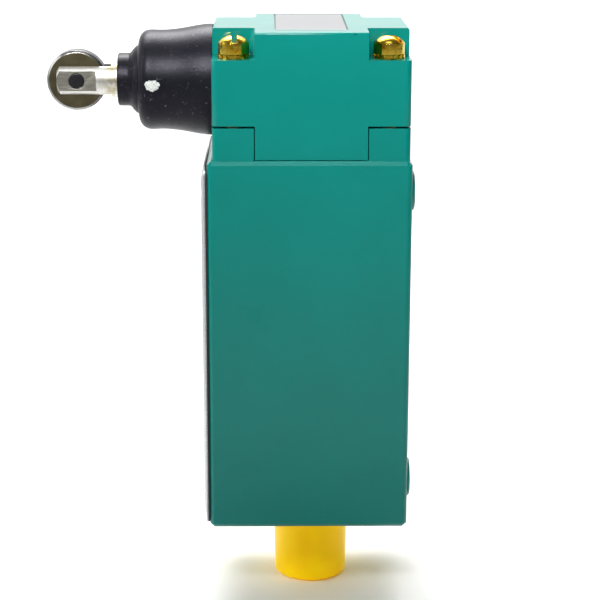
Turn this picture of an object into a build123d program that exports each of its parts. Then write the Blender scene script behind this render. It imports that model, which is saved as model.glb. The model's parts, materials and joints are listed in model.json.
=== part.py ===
from build123d import *

import os
from math import cos, radians, tan

# Heavy-duty limit switch with a side roller plunger, in millimetres.
# +Z is up, -X is the front (plunger and cover side), +X is the rear mounting face.
# The origin is the centre of the four mounting holes, on the plane of the rear pads.

# --- driving dimensions: body -------------------------------------------------
body_width = 39.9            # along Y
body_depth = 39.9            # along X
body_bottom_z = -38.9
shoulder_z = 36.4            # top platform, above the bevelled edge
shoulder_bevel = 0.85
ledge_z = shoulder_z - shoulder_bevel
post_top_z = 42.7            # corner posts that carry the head
corner_radius = 1.1
hole_pitch_y = 29.4
hole_pitch_z = 59.5
mount_hole_radius = 2.6
pad_radius = 3.95
pad_height = 0.6
column_radius = 4.3          # cast column round each mounting hole

rear_x = -pad_height
front_x = rear_x - body_depth
body_mid_x = (rear_x + front_x) / 2

cavity_half_width = 17.2
cavity_bottom_z = -25.5
cavity_top_z = 32.4
cavity_back_x = rear_x - 3.0

# --- driving dimensions: head -------------------------------------------------
head_width = 38.4
head_mid_x = body_mid_x + 0.3
head_left_x = head_mid_x - head_width / 2
head_top_z = 61.1
head_corner_z = post_top_z + 0.25
pocket_size = 8.3
pocket_floor_z = 55.75
tongue_width = head_width - 2 * pocket_size
tongue_gap = 0.2
head_screw_pitch = 29.9
head_screw_radius = 1.75

# --- driving dimensions: plunger ----------------------------------------------
plunger_z = 49.7
plunger_radius = 3.5
running_clearance = 0.05
plunger_travel = 5.5
roller_x = head_left_x - 27.45
roller_radius = 6.0
roller_width = 3.9
roller_pin_radius = 1.6
clevis_end_x = head_left_x - 31.4
clevis_flat_x = head_left_x - 23.5
clevis_flat_y = 2.87
chamber_radius = 6.0
chamber_end_x = head_mid_x + 3.3
bore_end_x = -5.5
bushing_inner_x = head_left_x + 11.0
bushing_nose = 6.0
ramp_angle = 25.0
ramp_rise = tan(radians(ramp_angle))
ramp_z = plunger_z - 0.2     # height of the ramp above the actuator pin, at rest

# --- driving dimensions: actuator pin and switch block --------------------------
pin_x = head_mid_x
pin_radius = 2.0
pin_dome_z = ramp_z - (pin_radius + 0.15) / cos(radians(ramp_angle))
pin_bottom_z = 26.0
seal_depth = 1.2
block_front_x = -24.0
block_half_width = 16.0
block_top_z = 22.0
block_bottom_z = -6.0
bridge_z = 12.4              # underside of the moving bridge, at rest
bridge_thickness = 0.6
tip_height = 0.5
contact_gap = 0.15
actuator_travel = plunger_travel * ramp_rise
closed_tip_z = bridge_z + bridge_thickness + tip_height + contact_gap
open_tip_z = bridge_z - tip_height - actuator_travel - contact_gap
arm_thickness = 0.8

# --- driving dimensions: cover and conduit entry --------------------------------
gasket_thickness = 0.35
cover_outer_x = front_x - gasket_thickness
cover_half_width = 19.6
cover_bottom_z = body_bottom_z + 0.6
cover_top_z = ledge_z - 0.2
cover_screw_y = 14.2
cover_screw_z = 19.5
boss_top_x = front_x + 2.0
entry_x = body_mid_x + 0.8
entry_radius = 9.9
plug_length = 17.2

os.makedirs("parts", exist_ok=True)

cover_points = [(y, z) for y in (-cover_screw_y, cover_screw_y) for z in (-cover_screw_z, cover_screw_z)]
mount_points = [(y, z) for y in (-hole_pitch_y / 2, hole_pitch_y / 2)
                for z in (-hole_pitch_z / 2, hole_pitch_z / 2)]


def save(piece, name):
    """Label a finished piece and write it under its own name."""
    piece.part.label = name
    export_step(piece.part, f"parts/{name}.step")


def facing_x(x):
    """Plane at x that looks along +X, with its own x axis along +Y and its y axis along +Z."""
    return Plane(origin=(x, 0, 0), x_dir=(0, 1, 0), z_dir=(1, 0, 0))


def about_plunger(x):
    """Plane at x that looks along +X, centred on the plunger's axis."""
    return Plane(origin=(x, 0, plunger_z), x_dir=(0, 1, 0), z_dir=(1, 0, 0))


def at_level(z, x):
    """Horizontal plane at height z, centred on x."""
    return Plane(origin=(x, 0, z), x_dir=(1, 0, 0), z_dir=(0, 0, 1))


# --- body housing: a die-cast box, open at the front ------------------------------
def make_body_housing():
    with BuildPart() as body:
        with BuildSketch(at_level(body_bottom_z, body_mid_x)):
            RectangleRounded(body_depth, body_width, corner_radius)
        extrude(amount=shoulder_z - body_bottom_z)
        chamfer(body.edges().group_by(Axis.Z)[-1], length=shoulder_bevel)
        # corner posts, a little off centre with the head
        with BuildSketch(at_level(ledge_z, head_mid_x)):
            RectangleRounded(head_width, head_width, corner_radius)
            Rectangle(tongue_width + 2 * tongue_gap, head_width, mode=Mode.SUBTRACT)
            Rectangle(head_width, tongue_width + 2 * tongue_gap, mode=Mode.SUBTRACT)
        extrude(amount=post_top_z - ledge_z)
        # front cavity, with the mounting columns and the cover screw bosses left standing
        with BuildSketch(facing_x(front_x)):
            with Locations((0, (cavity_top_z + cavity_bottom_z) / 2)):
                Rectangle(2 * cavity_half_width, cavity_top_z - cavity_bottom_z)
            with Locations(*mount_points):
                Circle(column_radius, mode=Mode.SUBTRACT)
        extrude(amount=cavity_back_x - front_x, mode=Mode.SUBTRACT)
        with BuildSketch(facing_x(boss_top_x)):
            for y, z in cover_points:
                side = 1 if y > 0 else -1
                with Locations((y, z)):
                    Circle(3.0)
                with Locations((side * (cover_screw_y + 1.8), z)):
                    Rectangle(3.6, 6.0)
        extrude(amount=11.0)
        # rear pads and mounting holes
        with BuildSketch(facing_x(rear_x)):
            with Locations(*mount_points):
                Circle(pad_radius)
        extrude(amount=pad_height)
        pad_rims = body.edges().filter_by(GeomType.CIRCLE).group_by(Axis.X)[-1]
        chamfer(pad_rims, length=0.25)
        with BuildSketch(facing_x(front_x)):
            with Locations(*mount_points):
                Circle(mount_hole_radius)
        extrude(amount=body_depth + pad_height, mode=Mode.SUBTRACT)
        # tapped holes: cover screws, block screws, ground screw
        with BuildSketch(facing_x(boss_top_x)):
            with Locations(*cover_points):
                Circle(1.4)
        extrude(amount=9.0, mode=Mode.SUBTRACT)
        with BuildSketch(facing_x(cavity_back_x)):
            with Locations((-9.0, -3.0), (9.0, -3.0), (-10.0, -17.0)):
                Circle(1.5)
        extrude(amount=1.8, mode=Mode.SUBTRACT)
        # conduit entry, with a lead-in
        with BuildSketch(at_level(body_bottom_z, entry_x)):
            Circle(entry_radius)
        extrude(amount=cavity_bottom_z - body_bottom_z, mode=Mode.SUBTRACT)
        mouth = body.edges().filter_by(GeomType.CIRCLE).group_by(Axis.Z)[0]
        chamfer(mouth, length=0.8)
        # way for the actuator pin, its seal, the head gasket groove and the head screws
        with BuildSketch(at_level(cavity_top_z, pin_x)):
            Circle(pin_radius + 0.3)
        extrude(amount=shoulder_z - cavity_top_z, mode=Mode.SUBTRACT)
        with BuildSketch(at_level(shoulder_z - seal_depth, pin_x)):
            Circle(6.0)
        extrude(amount=seal_depth, mode=Mode.SUBTRACT)
        with BuildSketch(at_level(shoulder_z - 1.0, pin_x)):
            Circle(9.6)
            Circle(8.0, mode=Mode.SUBTRACT)
        extrude(amount=1.0, mode=Mode.SUBTRACT)
        with BuildSketch(at_level(post_top_z - 8.0, head_mid_x)):
            with GridLocations(head_screw_pitch, head_screw_pitch, 2, 2):
                Circle(head_screw_radius - 0.25)
        extrude(amount=8.0, mode=Mode.SUBTRACT)
    save(body, "body_housing")


# --- head housing: a die-cast block whose tongues drop between the body's posts ------
def make_head_housing():
    with BuildPart() as head:
        with BuildSketch(at_level(head_corner_z, head_mid_x)):
            RectangleRounded(head_width, head_width, corner_radius)
        extrude(amount=head_top_z - head_corner_z)
        fillet(head.edges().group_by(Axis.Z)[-1], radius=0.5)
        # cross-shaped tongue
        with BuildSketch(at_level(shoulder_z, head_mid_x)):
            Rectangle(tongue_width, head_width)
            Rectangle(head_width, tongue_width)
        extrude(amount=head_corner_z - shoulder_z)
        # corner pockets for the screws
        with BuildSketch(at_level(pocket_floor_z, head_mid_x)):
            with GridLocations(head_width - pocket_size, head_width - pocket_size, 2, 2):
                Rectangle(pocket_size, pocket_size)
        extrude(amount=head_top_z - pocket_floor_z, mode=Mode.SUBTRACT)
        inner_corners = head.edges().filter_by(Axis.Z).filter_by(
            lambda e: abs(e.length - (head_top_z - pocket_floor_z)) < 0.05)
        fillet(inner_corners, radius=0.9)
        with BuildSketch(at_level(head_corner_z, head_mid_x)):
            with GridLocations(head_screw_pitch, head_screw_pitch, 2, 2):
                Circle(head_screw_radius + 0.15)
        extrude(amount=pocket_floor_z - head_corner_z, mode=Mode.SUBTRACT)
        # label recess in the top
        with BuildSketch(Plane(origin=(head_mid_x, 2.0, head_top_z - 0.3))):
            Rectangle(14.3, 32.0)
        extrude(amount=0.3, mode=Mode.SUBTRACT)
        # cam chamber, rear guide bore and the bore of the actuator pin
        with BuildSketch(about_plunger(head_left_x)):
            Circle(chamber_radius)
        extrude(amount=chamber_end_x - head_left_x, mode=Mode.SUBTRACT)
        with BuildSketch(about_plunger(chamber_end_x)):
            Circle(plunger_radius + running_clearance)
        extrude(amount=bore_end_x - chamber_end_x, mode=Mode.SUBTRACT)
        with BuildSketch(at_level(shoulder_z, pin_x)):
            Circle(4.0)
        extrude(amount=plunger_z - shoulder_z, mode=Mode.SUBTRACT)
        # hole of the key pin, under the label
        with BuildSketch(at_level(plunger_z, head_mid_x - 0.2)):
            Circle(1.0)
        extrude(amount=head_top_z - plunger_z, mode=Mode.SUBTRACT)
    save(head, "head_housing")


# --- what closes and names the head ------------------------------------------------
def make_head_trim():
    with BuildPart() as label:
        with BuildSketch(Plane(origin=(head_mid_x, 2.0, head_top_z - 0.3))):
            Rectangle(14.1, 31.8)
        extrude(amount=0.25)
    save(label, "head_label_plate")

    with BuildPart() as gasket:
        with BuildSketch(at_level(shoulder_z - 1.0, pin_x)):
            Circle(9.6)
            Circle(8.0, mode=Mode.SUBTRACT)
        extrude(amount=1.0)
    save(gasket, "head_gasket")

    with BuildPart() as seal:
        with BuildSketch(at_level(shoulder_z - seal_depth, pin_x)):
            Circle(6.0)
            Circle(pin_radius + running_clearance, mode=Mode.SUBTRACT)
        extrude(amount=seal_depth)
    save(seal, "actuator_seal")


# --- four slotted fillister-head screws, each on a toothed lock washer ---------------
washer_thickness = 0.8
screw_head_radius = 3.0
screw_head_height = 3.6
slot_width = 1.15
slot_depth = 1.25
# turn of each slot about the screw's axis: rear right, rear left, front left, front right
slot_turns = {(1, 1): 20, (-1, 1): 75, (-1, -1): 96, (1, -1): 140}


def make_head_screws():
    half = head_screw_pitch / 2
    seat_z = pocket_floor_z + washer_thickness
    with BuildPart() as screws:
        for (sx, sy), turn in slot_turns.items():
            x = head_mid_x + sx * half
            y = sy * half
            profile_plane = Plane(origin=(x, y, seat_z), x_dir=(1, 0, 0), z_dir=(0, -1, 0))
            with BuildSketch(profile_plane):
                with BuildLine():
                    Polyline((0, 0), (screw_head_radius - 0.15, 0), (screw_head_radius, 0.15),
                             (screw_head_radius, 2.2))
                    ThreePointArc((screw_head_radius, 2.2), (1.7, screw_head_height - 0.3),
                                  (0, screw_head_height))
                    Line((0, screw_head_height), (0, 0))
                make_face()
            revolve(axis=Axis((x, y, 0), (0, 0, 1)))
            with BuildSketch(Plane(origin=(x, y, seat_z - 19.0))):
                Circle(head_screw_radius - 0.25)
            extrude(amount=19.0)
            slot_plane = Plane(origin=(x, y, seat_z + screw_head_height - slot_depth))
            with BuildSketch(slot_plane.rotated((0, 0, turn))):
                Rectangle(2 * screw_head_radius + 1, slot_width)
            extrude(amount=slot_depth + 1, mode=Mode.SUBTRACT)
    save(screws, "head_screws")

    with BuildPart() as washers:
        with BuildSketch(at_level(pocket_floor_z, head_mid_x)):
            with GridLocations(head_screw_pitch, head_screw_pitch, 2, 2):
                Circle(2.85)
                with PolarLocations(2.85, 16):
                    Rectangle(0.5, 0.6)
                Circle(head_screw_radius + 0.05, mode=Mode.SUBTRACT)
        extrude(amount=washer_thickness)
    save(washers, "head_lock_washers")


# --- plunger bushing, wiper ring and rubber boot --------------------------------------
boot_hole_radius = plunger_radius + running_clearance


def make_plunger_bushing():
    nose_x = head_left_x - bushing_nose
    with BuildPart() as bushing:
        with BuildSketch(about_plunger(head_left_x)):
            Circle(chamber_radius)
        extrude(amount=bushing_inner_x - head_left_x)
        with BuildSketch(about_plunger(nose_x)):
            Circle(7.0)
        extrude(amount=bushing_nose)
        # groove that the boot's inner lip snaps into
        with BuildSketch(about_plunger(head_left_x - 3.6)):
            Circle(7.0)
            Circle(6.2, mode=Mode.SUBTRACT)
        extrude(amount=1.6, mode=Mode.SUBTRACT)
        with BuildSketch(about_plunger(nose_x)):
            Circle(boot_hole_radius)
        extrude(amount=bushing_inner_x - nose_x, mode=Mode.SUBTRACT)
        with BuildSketch(about_plunger(nose_x + 1.2)):
            Circle(4.9)
        extrude(amount=1.8, mode=Mode.SUBTRACT)
    save(bushing, "plunger_bushing")

    with BuildPart() as wiper:
        with BuildSketch(about_plunger(nose_x + 1.2)):
            Circle(4.9)
            Circle(boot_hole_radius, mode=Mode.SUBTRACT)
        extrude(amount=1.8)
    save(wiper, "plunger_wiper_ring")


def make_boot():
    """Revolved rubber boot: flared base, waisted barrel, rounded shoulder, fold and collar."""
    out = Plane(origin=(head_left_x, 0, plunger_z), x_dir=(-1, 0, 0), z_dir=(0, 1, 0))
    with BuildPart() as boot:
        with BuildSketch(out):
            with BuildLine():
                Line((0.05, 7.05), (0.05, 11.15))
                Spline((0.05, 11.15), (4.0, 10.85), (10.4, 9.95), (12.6, 10.0),
                       tangents=[(1, 0), (1, 0)])
                ThreePointArc((12.6, 10.0), (14.35, 9.45), (15.0, 7.9))
                Line((15.0, 7.9), (15.0, 6.7))
                Spline((15.0, 6.7), (15.8, 6.35), (16.9, 5.3), tangents=[(1, 0), (0.4, -1)])
                Line((16.9, 5.3), (19.2, 5.3))
                Line((19.2, 5.3), (19.2, boot_hole_radius))
                Line((19.2, boot_hole_radius), (15.9, boot_hole_radius))
                Line((15.9, boot_hole_radius), (15.0, 4.6))
                Line((15.0, 4.6), (13.5, 5.0))
                Line((13.5, 5.0), (13.5, 7.7))
                ThreePointArc((13.5, 7.7), (13.1, 8.4), (12.4, 8.6))
                Line((12.4, 8.6), (7.4, 8.7))
                Line((7.4, 8.7), (6.6, 7.1))
                Line((6.6, 7.1), (3.6, 7.05))
                Line((3.6, 7.05), (3.6, 6.25))
                Line((3.6, 6.25), (2.0, 6.25))
                Line((2.0, 6.25), (2.0, 7.05))
                Line((2.0, 7.05), (0.05, 7.05))
            make_face()
        revolve(axis=Axis((0, 0, plunger_z), (1, 0, 0)))
    save(boot, "boot")


# --- plunger: rod, clevis end, cam ramp and spring spigot -----------------------------
rod_end_x = -14.5
spigot_end_x = -12.0
clip_x = bushing_inner_x + 0.3
clip_thickness = 0.8


def make_plunger_shaft():
    side = Plane(origin=(0, 0, plunger_z), x_dir=(1, 0, 0), z_dir=(0, -1, 0))
    with BuildPart() as shaft:
        with BuildSketch(about_plunger(clevis_end_x)):
            Circle(plunger_radius)
        extrude(amount=rod_end_x - clevis_end_x)
        chamfer(shaft.edges().group_by(Axis.X)[0], length=0.6)
        with BuildSketch(about_plunger(rod_end_x)):
            Circle(2.0)
        extrude(amount=spigot_end_x - rod_end_x)
        # cam ramp cut into the underside, over the actuator pin
        low_x = pin_x - 7.5
        high_x = pin_x + 2.5
        low_z = ramp_z - plunger_z - 7.5 * ramp_rise
        high_z = ramp_z - plunger_z + 2.5 * ramp_rise
        with BuildSketch(side):
            with BuildLine():
                Polyline((low_x, low_z), (high_x, high_z), (high_x, -4.5), (low_x, -4.5), close=True)
            make_face()
        extrude(amount=4.5, both=True, mode=Mode.SUBTRACT)
        # key slot on top, and the groove of the retaining clip
        with BuildSketch(at_level(plunger_z + 2.3, head_mid_x - 0.2 - plunger_travel / 2)):
            Rectangle(plunger_travel + 2.3, 2.1)
        extrude(amount=2.0, mode=Mode.SUBTRACT)
        with BuildSketch(about_plunger(clip_x)):
            Circle(4.5)
            Circle(2.9, mode=Mode.SUBTRACT)
        extrude(amount=clip_thickness, mode=Mode.SUBTRACT)
        # clevis: two side flats, a slot for the roller and the pin hole
        for away in (-1, 1):
            with BuildSketch(side.offset(away * (clevis_flat_y + 2.0))):
                with Locations(((clevis_end_x + clevis_flat_x) / 2, 0)):
                    Rectangle(clevis_flat_x - clevis_end_x, 9.0)
            extrude(amount=2.0, both=True, mode=Mode.SUBTRACT)
        slot_end_x = roller_x + roller_radius + 0.9
        with BuildSketch(side):
            with Locations(((clevis_end_x + slot_end_x) / 2, 0)):
                Rectangle(slot_end_x - clevis_end_x, 9.0)
        extrude(amount=roller_width / 2 + 0.1, both=True, mode=Mode.SUBTRACT)
        with BuildSketch(side):
            with Locations((roller_x, 0)):
                Circle(roller_pin_radius)
        extrude(amount=4.0, both=True, mode=Mode.SUBTRACT)
    save(shaft, "plunger_shaft")


def make_roller():
    side = Plane(origin=(roller_x, 0, plunger_z), x_dir=(1, 0, 0), z_dir=(0, -1, 0))
    with BuildPart() as roller:
        with BuildSketch(side):
            Circle(roller_radius)
        extrude(amount=roller_width / 2, both=True)
        chamfer(roller.edges(), length=0.45)
        with BuildSketch(side):
            Circle(roller_pin_radius + running_clearance)
        extrude(amount=roller_width, both=True, mode=Mode.SUBTRACT)
    save(roller, "roller")

    with BuildPart() as pin:
        with BuildSketch(side):
            Circle(roller_pin_radius)
        extrude(amount=clevis_flat_y + 0.12, both=True)
        chamfer(pin.edges(), length=0.25)
    save(pin, "roller_pin")


def make_plunger_fittings():
    with BuildPart() as clip:
        with BuildSketch(about_plunger(clip_x)):
            Circle(4.9)
            Circle(2.9, mode=Mode.SUBTRACT)
            with Locations((0, -4.0)):
                Rectangle(2.4, 4.0, mode=Mode.SUBTRACT)
        extrude(amount=clip_thickness)
    save(clip, "plunger_clip")

    with BuildPart() as key:
        with BuildSketch(at_level(plunger_z + 2.4, head_mid_x - 0.2)):
            Circle(1.0)
        extrude(amount=head_top_z - 0.4 - (plunger_z + 2.4))
    save(key, "plunger_key_pin")


# --- coil springs ------------------------------------------------------------------------
def make_spring(name, base, axis, length, radius, wire_radius, turns):
    """Open coil spring from base, along axis, whose wire stays inside the stated length."""
    rise = length - 2 * wire_radius - 0.1
    start = Vector(*base) + Vector(*axis) * (wire_radius + 0.05)
    coil_plane = Plane(origin=start, z_dir=axis)
    path = coil_plane.from_local_coords(Helix(pitch=rise / turns, height=rise, radius=radius))
    with BuildPart() as spring:
        with BuildSketch(Plane(origin=path @ 0, z_dir=path % 0)):
            Circle(wire_radius)
        sweep(path=path, is_frenet=True)
    save(spring, name)


def make_springs():
    make_spring("return_spring", (rod_end_x, 0, plunger_z), (1, 0, 0), bore_end_x - rod_end_x,
                2.75, 0.4, 4)
    make_spring("actuator_spring", (pin_x, 0, 40.0), (0, 0, 1), 5.4, 2.75, 0.25, 4)
    make_spring("contact_spring", (pin_x, 0, 3.0), (0, 0, 1), bridge_z - 3.0, 1.9, 0.25, 6)


# --- actuator: pin, guide and clip --------------------------------------------------------
def make_actuator():
    clip_z = 45.4
    with BuildPart() as pin:
        with BuildSketch(at_level(pin_bottom_z, pin_x)):
            Circle(pin_radius)
        extrude(amount=pin_dome_z - pin_bottom_z)
        with Locations((pin_x, 0, pin_dome_z)):
            Sphere(pin_radius)
        with BuildSketch(at_level(clip_z, pin_x)):
            Circle(2.5)
            Circle(1.5, mode=Mode.SUBTRACT)
        extrude(amount=0.6, mode=Mode.SUBTRACT)
    save(pin, "actuator_pin")

    with BuildPart() as clip:
        with BuildSketch(at_level(clip_z, pin_x)):
            Circle(3.3)
            Circle(1.5, mode=Mode.SUBTRACT)
            with Locations((2.6, 0)):
                Rectangle(3.0, 1.6, mode=Mode.SUBTRACT)
        extrude(amount=0.6)
    save(clip, "actuator_clip")

    with BuildPart() as guide:
        with BuildSketch(at_level(shoulder_z, pin_x)):
            Circle(4.0)
            Circle(pin_radius + running_clearance, mode=Mode.SUBTRACT)
        extrude(amount=40.0 - shoulder_z)
    save(guide, "actuator_guide")


# --- contact block --------------------------------------------------------------------------
terminal_y = 13.2
block_screw_points = [(-9.0, -3.0), (9.0, -3.0)]
arm_levels = {"closed": closed_tip_z + tip_height, "open": open_tip_z - tip_height - arm_thickness}
terminal_screw_z = {"closed": 17.6, "open": 4.2}
terminal_span_z = {"closed": (13.0, 21.4), "open": (0.6, 9.6)}


def make_block_base():
    with BuildPart() as base:
        with BuildSketch(facing_x(block_front_x)):
            with Locations((0, (block_top_z + block_bottom_z) / 2)):
                Rectangle(2 * block_half_width, block_top_z - block_bottom_z)
        extrude(amount=cavity_back_x - block_front_x)
        fillet(base.edges().filter_by(Axis.X), radius=1.0)
        with BuildSketch(facing_x(block_front_x)):
            with Locations((0, 11.5)):
                Rectangle(18.0, 17.0)
        extrude(amount=7.5, mode=Mode.SUBTRACT)
        with BuildSketch(at_level(20.0, pin_x)):
            Circle(pin_radius + running_clearance)
        extrude(amount=2.0, mode=Mode.SUBTRACT)
        # slots of the four contact arms
        with BuildSketch(facing_x(block_front_x)):
            for level in arm_levels.values():
                with Locations((0, level + arm_thickness / 2)):
                    Rectangle(2 * terminal_y, arm_thickness)
        extrude(amount=5.2, mode=Mode.SUBTRACT)
        # holes of the block screws and of the terminal screws
        with BuildSketch(facing_x(block_front_x)):
            with Locations(*block_screw_points):
                Circle(1.65)
        extrude(amount=cavity_back_x - block_front_x, mode=Mode.SUBTRACT)
        with BuildSketch(facing_x(block_front_x)):
            for z in terminal_screw_z.values():
                with Locations((-terminal_y, z), (terminal_y, z)):
                    Circle(1.4)
        extrude(amount=5.0, mode=Mode.SUBTRACT)
    save(base, "contact_block_base")

    with BuildPart() as lid:
        with BuildSketch(facing_x(block_front_x - 3.0)):
            with Locations((0, 10.8)):
                RectangleRounded(19.8, 21.4, 1.0)
        extrude(amount=3.0)
        chamfer(lid.faces().sort_by(Axis.X)[0].edges(), length=0.6)
    save(lid, "contact_block_lid")


def make_terminals():
    """Fixed contacts: a plate under each terminal screw, and an arm that ends in a contact tip."""
    for state, level in arm_levels.items():
        low, high = terminal_span_z[state]
        tip_z = level + arm_thickness if state == "open" else level - tip_height
        with BuildPart() as terminals:
            for side in (-1, 1):
                with BuildSketch(facing_x(block_front_x - 0.8)):
                    with Locations((side * terminal_y, (low + high) / 2)):
                        Rectangle(5.4, high - low)
                    with Locations((side * terminal_y, terminal_screw_z[state])):
                        Circle(1.5, mode=Mode.SUBTRACT)
                extrude(amount=0.8)
                with BuildSketch(facing_x(block_front_x)):
                    with Locations((side * (terminal_y + 5.0) / 2, level + arm_thickness / 2)):
                        Rectangle(terminal_y - 5.0, arm_thickness)
                extrude(amount=5.2)
                with BuildSketch(Plane(origin=(pin_x, side * 6.2, tip_z))):
                    Circle(1.1)
                extrude(amount=tip_height)
        save(terminals, f"terminals_normally_{state}")

    with BuildPart() as clamps:
        for z in terminal_screw_z.values():
            with BuildSketch(facing_x(block_front_x - 1.7)):
                with Locations((-terminal_y, z), (terminal_y, z)):
                    Rectangle(5.2, 5.6)
                    Circle(1.5, mode=Mode.SUBTRACT)
            extrude(amount=0.9)
    save(clamps, "terminal_clamps")


def make_pan_screws(name, points, seat_x, head_radius, head_height, shank_radius, shank_length):
    """Slotted pan-head screws that point along +X, with their heads to the front."""
    with BuildPart() as screws:
        with BuildSketch(facing_x(seat_x - head_height)):
            with Locations(*points):
                Circle(head_radius)
        extrude(amount=head_height)
        fillet(screws.edges().group_by(Axis.X)[0], radius=0.4)
        with BuildSketch(facing_x(seat_x)):
            with Locations(*points):
                Circle(shank_radius)
        extrude(amount=shank_length)
        with BuildSketch(facing_x(seat_x - head_height)):
            with Locations(*points):
                Rectangle(2 * head_radius + 1, 0.8)
        extrude(amount=head_height * 0.5, mode=Mode.SUBTRACT)
    save(screws, name)


def make_switch_plunger():
    with BuildPart() as button:
        with BuildSketch(at_level(bridge_z + bridge_thickness, pin_x)):
            Circle(pin_radius)
        extrude(amount=pin_bottom_z - 0.3 - bridge_z - bridge_thickness)
        with BuildSketch(at_level(6.0, pin_x)):
            Circle(1.2)
        extrude(amount=bridge_z + bridge_thickness - 6.0)
        fillet(button.edges().group_by(Axis.Z)[-1], radius=0.5)
    save(button, "switch_button")

    with BuildPart() as bridge:
        with BuildSketch(at_level(bridge_z, pin_x)):
            Rectangle(2.8, 15.0)
            Circle(1.2, mode=Mode.SUBTRACT)
        extrude(amount=bridge_thickness)
        with BuildSketch(at_level(bridge_z - tip_height, pin_x)):
            with Locations((0, -6.2), (0, 6.2)):
                Circle(1.1)
        extrude(amount=bridge_thickness + 2 * tip_height)
    save(bridge, "contact_bridge")


# --- front cover, its gasket, screws and lining ---------------------------------------------
def make_front_cover():
    cover_mid_z = (cover_bottom_z + cover_top_z) / 2
    cover_height = cover_top_z - cover_bottom_z
    with BuildPart() as cover:
        with BuildSketch(facing_x(cover_outer_x - 0.3)):
            with Locations((0, cover_mid_z)):
                RectangleRounded(2 * cover_half_width, cover_height, 2.0)
        extrude(amount=0.3)
        # shallow raised field, reached by a gentle slope
        with BuildSketch(facing_x(cover_outer_x - 0.3)):
            with Locations((0, cover_mid_z)):
                RectangleRounded(2 * cover_half_width, cover_height, 2.0)
        with BuildSketch(facing_x(cover_outer_x - 0.85)):
            with Locations((0, cover_mid_z)):
                RectangleRounded(2 * cover_half_width - 5.0, cover_height - 5.0, 1.5)
        loft()
        with BuildSketch(facing_x(cover_outer_x)):
            with Locations(*cover_points):
                Circle(2.9)
        extrude(amount=boss_top_x - cover_outer_x)
        with BuildSketch(facing_x(cover_outer_x - 1.0)):
            with Locations(*mount_points):
                Circle(mount_hole_radius + 0.1)
            with Locations(*cover_points):
                Circle(1.6)
        extrude(amount=6.0, mode=Mode.SUBTRACT)
        for y, z in cover_points:
            with BuildSketch(facing_x(cover_outer_x - 0.85)):
                with Locations((y, z)):
                    Circle(2.85)
            with BuildSketch(facing_x(cover_outer_x + 0.4)):
                with Locations((y, z)):
                    Circle(1.6)
            loft(mode=Mode.SUBTRACT)
        with BuildSketch(facing_x(cover_outer_x - 0.85)):
            with Locations((0, 0)):
                Rectangle(22.2, 34.2)
        extrude(amount=0.15, mode=Mode.SUBTRACT)
    save(cover, "front_cover")

    with BuildPart() as plate:
        with BuildSketch(facing_x(cover_outer_x - 0.85)):
            RectangleRounded(22.0, 34.0, 0.8)
        extrude(amount=0.15)
    save(plate, "cover_label_plate")

    with BuildPart() as gasket:
        with BuildSketch(facing_x(cover_outer_x)):
            with Locations((0, cover_mid_z)):
                RectangleRounded(2 * cover_half_width - 0.1, cover_height - 0.1, 2.0)
            with Locations((0, (cavity_top_z + cavity_bottom_z) / 2)):
                Rectangle(2 * cavity_half_width, cavity_top_z - cavity_bottom_z, mode=Mode.SUBTRACT)
            for y in (-hole_pitch_y / 2, hole_pitch_y / 2):
                with Locations((y, hole_pitch_z / 2)):
                    Circle(column_radius)
            with Locations(*mount_points):
                Circle(mount_hole_radius + 0.1, mode=Mode.SUBTRACT)
        extrude(amount=gasket_thickness)
    save(gasket, "cover_gasket")

    with BuildPart() as lining:
        with BuildSketch(facing_x(cover_outer_x)):
            with Locations((0, 3.0)):
                RectangleRounded(20.0, 50.0, 1.0)
        extrude(amount=0.4)
    save(lining, "cover_insulator")


def make_cover_screws():
    with BuildPart() as screws:
        for y, z in cover_points:
            with BuildSketch(facing_x(cover_outer_x - 0.8)):
                with Locations((y, z)):
                    Circle(2.75)
            with BuildSketch(facing_x(cover_outer_x + 0.35)):
                with Locations((y, z)):
                    Circle(1.4)
            loft()
            with BuildSketch(facing_x(cover_outer_x + 0.35)):
                with Locations((y, z)):
                    Circle(1.4)
            extrude(amount=9.0)
            with BuildSketch(facing_x(cover_outer_x - 0.8)):
                with Locations((y, z)):
                    Rectangle(6.5, 0.8)
            extrude(amount=0.6, mode=Mode.SUBTRACT)
    save(screws, "cover_screws")


# --- ground screw and conduit plug ------------------------------------------------------------
def make_ground_clamp():
    with BuildPart() as clamp:
        with BuildSketch(facing_x(cavity_back_x - 1.0)):
            with Locations((-10.0, -17.0)):
                Circle(3.4)
                Circle(1.6, mode=Mode.SUBTRACT)
        extrude(amount=1.0)
    save(clamp, "ground_clamp_washer")


def make_conduit_plug():
    """Hollow plastic plug: barrel in the entry, flange against the body, tapered cup below."""
    profile_plane = Plane(origin=(entry_x, 0, body_bottom_z), x_dir=(1, 0, 0), z_dir=(0, -1, 0))
    with BuildPart() as plug:
        with BuildSketch(profile_plane):
            with BuildLine():
                Polyline((0, 0), (0, 2.0), (6.0, 2.0), (6.0, 9.0), (entry_radius - 0.5, 9.0),
                         (entry_radius - 0.1, 8.6), (entry_radius - 0.1, 0.9),
                         (entry_radius - 0.9, 0.0), (11.2, 0.0), (11.2, -1.5), (7.85, -1.5),
                         (7.55, -plug_length + 0.6), (6.95, -plug_length),
                         (6.2, -plug_length), (6.4, -2.0), (6.4, 0.0), close=True)
            make_face()
        revolve(axis=Axis((entry_x, 0, 0), (0, 0, 1)))
    save(plug, "conduit_plug")


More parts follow.
